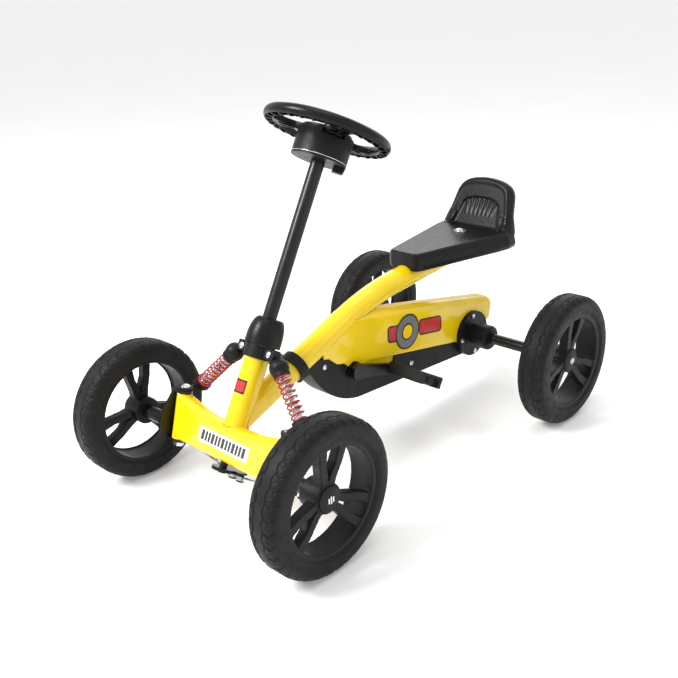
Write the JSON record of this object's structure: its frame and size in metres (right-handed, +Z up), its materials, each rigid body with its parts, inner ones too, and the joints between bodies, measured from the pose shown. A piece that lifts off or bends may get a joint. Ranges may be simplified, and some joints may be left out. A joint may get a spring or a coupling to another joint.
{
  "type": "pedal go kart",
  "caption": "Low tube-framed pedal go kart for a small child, with a raked steering column, knuckle-steered front wheels, enclosed chain drive and a sliding seat.",
  "frame": {"origin": "on the ground under the kart's middle, midway between the two axles", "axes": "-Y is the kart's front, +X is the driver's left, +Z is up"},
  "size_m": [0.494, 0.822, 0.5952],
  "materials": {
    "yellow_paint": "glossy powder coat",
    "black_plastic": "satin",
    "gloss_black_plastic": "gloss",
    "boot_rubber": "matte",
    "black_paint": "satin powder coat",
    "zinc_steel": "zinc plated",
    "drive_steel": "oiled",
    "red_paint": "gloss",
    "tyre_rubber": "matte",
    "rim_plastic": "satin"
  },
  "bodies": {
    "frame": {"head_tube": "yellow_paint", "main_tube": "yellow_paint", "front_beam": "yellow_paint", "kingpin_tubes": "yellow_paint", "frame_plates": "yellow_paint", "tube_end_plug": "black_plastic", "cover_left": "yellow_paint", "cover_right": "yellow_paint", "guard_left": "black_plastic", "guard_right": "black_plastic", "bearing_flange_left": "black_plastic", "bearing_flange_right": "black_plastic", "rear_axle_bushes": "black_plastic", "crank_bushes": "black_plastic", "column_bushes": "black_plastic", "head_collar": "black_plastic", "tube_band": "black_plastic", "column_boot": "boot_rubber", "kingpins": "zinc_steel", "shock_brackets": "black_plastic", "shock_caps": "black_plastic", "shock_springs": "red_paint", "shock_rods": "zinc_steel", "frame_screws": "zinc_steel", "chain": "drive_steel"},
    "steering": {"steering_column": "black_paint", "pitman_plate": "black_paint", "steering_wheel": "gloss_black_plastic", "hub_housing": "black_plastic", "hub_base_cover": "black_plastic", "hub_screw": "zinc_steel"},
    "knuckle_left": {"knuckle_left": "black_paint"},
    "knuckle_right": {"knuckle_right": "black_paint"},
    "tie_rod_left": {"tie_rod_left": "zinc_steel"},
    "tie_rod_right": {"tie_rod_right": "zinc_steel"},
    "front_wheel_left": {"front_tyre_left": "tyre_rubber", "front_rim_left": "rim_plastic", "front_hub_cap_left": "rim_plastic"},
    "front_wheel_right": {"front_tyre_right": "tyre_rubber", "front_rim_right": "rim_plastic", "front_hub_cap_right": "rim_plastic"},
    "rear_axle": {"rear_axle": "black_paint", "rear_sprocket": "drive_steel", "rear_tyre_right": "tyre_rubber", "rear_rim_right": "rim_plastic", "rear_hub_cap_right": "rim_plastic"},
    "rear_wheel_left": {"rear_tyre_left": "tyre_rubber", "rear_rim_left": "rim_plastic", "rear_hub_cap_left": "rim_plastic"},
    "crank": {"crank_axle": "black_paint", "chainring": "drive_steel", "crank_arms": "black_paint"},
    "pedal_left": {"pedal_left": "black_plastic"},
    "pedal_right": {"pedal_right": "black_plastic"},
    "seat": {"seat_shell": "gloss_black_plastic", "seat_saddle": "black_paint", "seat_bolt": "zinc_steel"}
  },
  "joints": [
    {"name": "steer", "type": "hinge", "parent": "frame", "child": "steering", "pos_m": [0, -0.2787, 0.115], "axis": [0, 0.4848, 0.8746], "range_deg": [-30, 30]},
    {"name": "knuckle_left_turn", "type": "hinge", "parent": "frame", "child": "knuckle_left", "pos_m": [0.12, -0.28, 0.115], "axis": [0, 0.2756, 0.9613], "range_deg": [-30, 30]},
    {"name": "knuckle_right_turn", "type": "hinge", "parent": "frame", "child": "knuckle_right", "pos_m": [-0.12, -0.28, 0.115], "axis": [0, 0.2756, 0.9613], "range_deg": [-30, 30]},
    {"name": "tie_rod_left_swing", "type": "hinge", "parent": "steering", "child": "tie_rod_left", "pos_m": [0.009, -0.27369, 0.05391], "axis": [0, 0.4848, 0.8746], "range_deg": [-30, 30]},
    {"name": "tie_rod_right_swing", "type": "hinge", "parent": "steering", "child": "tie_rod_right", "pos_m": [-0.009, -0.27369, 0.05391], "axis": [0, 0.4848, 0.8746], "range_deg": [-30, 30]},
    {"name": "front_left_spin", "type": "hinge", "parent": "knuckle_left", "child": "front_wheel_left", "pos_m": [0.21, -0.296, 0.115], "axis": [1, 0, 0], "continuous": true},
    {"name": "front_right_spin", "type": "hinge", "parent": "knuckle_right", "child": "front_wheel_right", "pos_m": [-0.21, -0.296, 0.115], "axis": [1, 0, 0], "continuous": true},
    {"name": "rear_axle_spin", "type": "hinge", "parent": "frame", "child": "rear_axle", "pos_m": [0, 0.296, 0.115], "axis": [1, 0, 0], "continuous": true, "deforming": ["chain"]},
    {"name": "rear_left_spin", "type": "hinge", "parent": "rear_axle", "child": "rear_wheel_left", "pos_m": [0.222, 0.296, 0.115], "axis": [1, 0, 0], "continuous": true},
    {"name": "crank_spin", "type": "hinge", "parent": "frame", "child": "crank", "pos_m": [0, -0.02862, 0.152], "axis": [1, 0, 0], "continuous": true},
    {"name": "pedal_left_spin", "type": "hinge", "parent": "crank", "child": "pedal_left", "pos_m": [0, 0.05811, 0.12795], "axis": [1, 0, 0], "continuous": true},
    {"name": "pedal_right_spin", "type": "hinge", "parent": "crank", "child": "pedal_right", "pos_m": [0, -0.11534, 0.17605], "axis": [1, 0, 0], "continuous": true},
    {"name": "seat_slide", "type": "slide", "parent": "frame", "child": "seat", "axis": [0, 0.9956, 0.0941], "range_m": [-0.04, 0]}
  ],
  "couplings": [
    {"joint": "knuckle_left_turn", "follows": "steer", "ratio": 1},
    {"joint": "knuckle_right_turn", "follows": "steer", "ratio": 1},
    {"joint": "tie_rod_left_swing", "follows": "steer", "ratio": -1},
    {"joint": "tie_rod_right_swing", "follows": "steer", "ratio": -1},
    {"joint": "crank_spin", "follows": "rear_axle_spin", "ratio": 0.65}
  ]
}
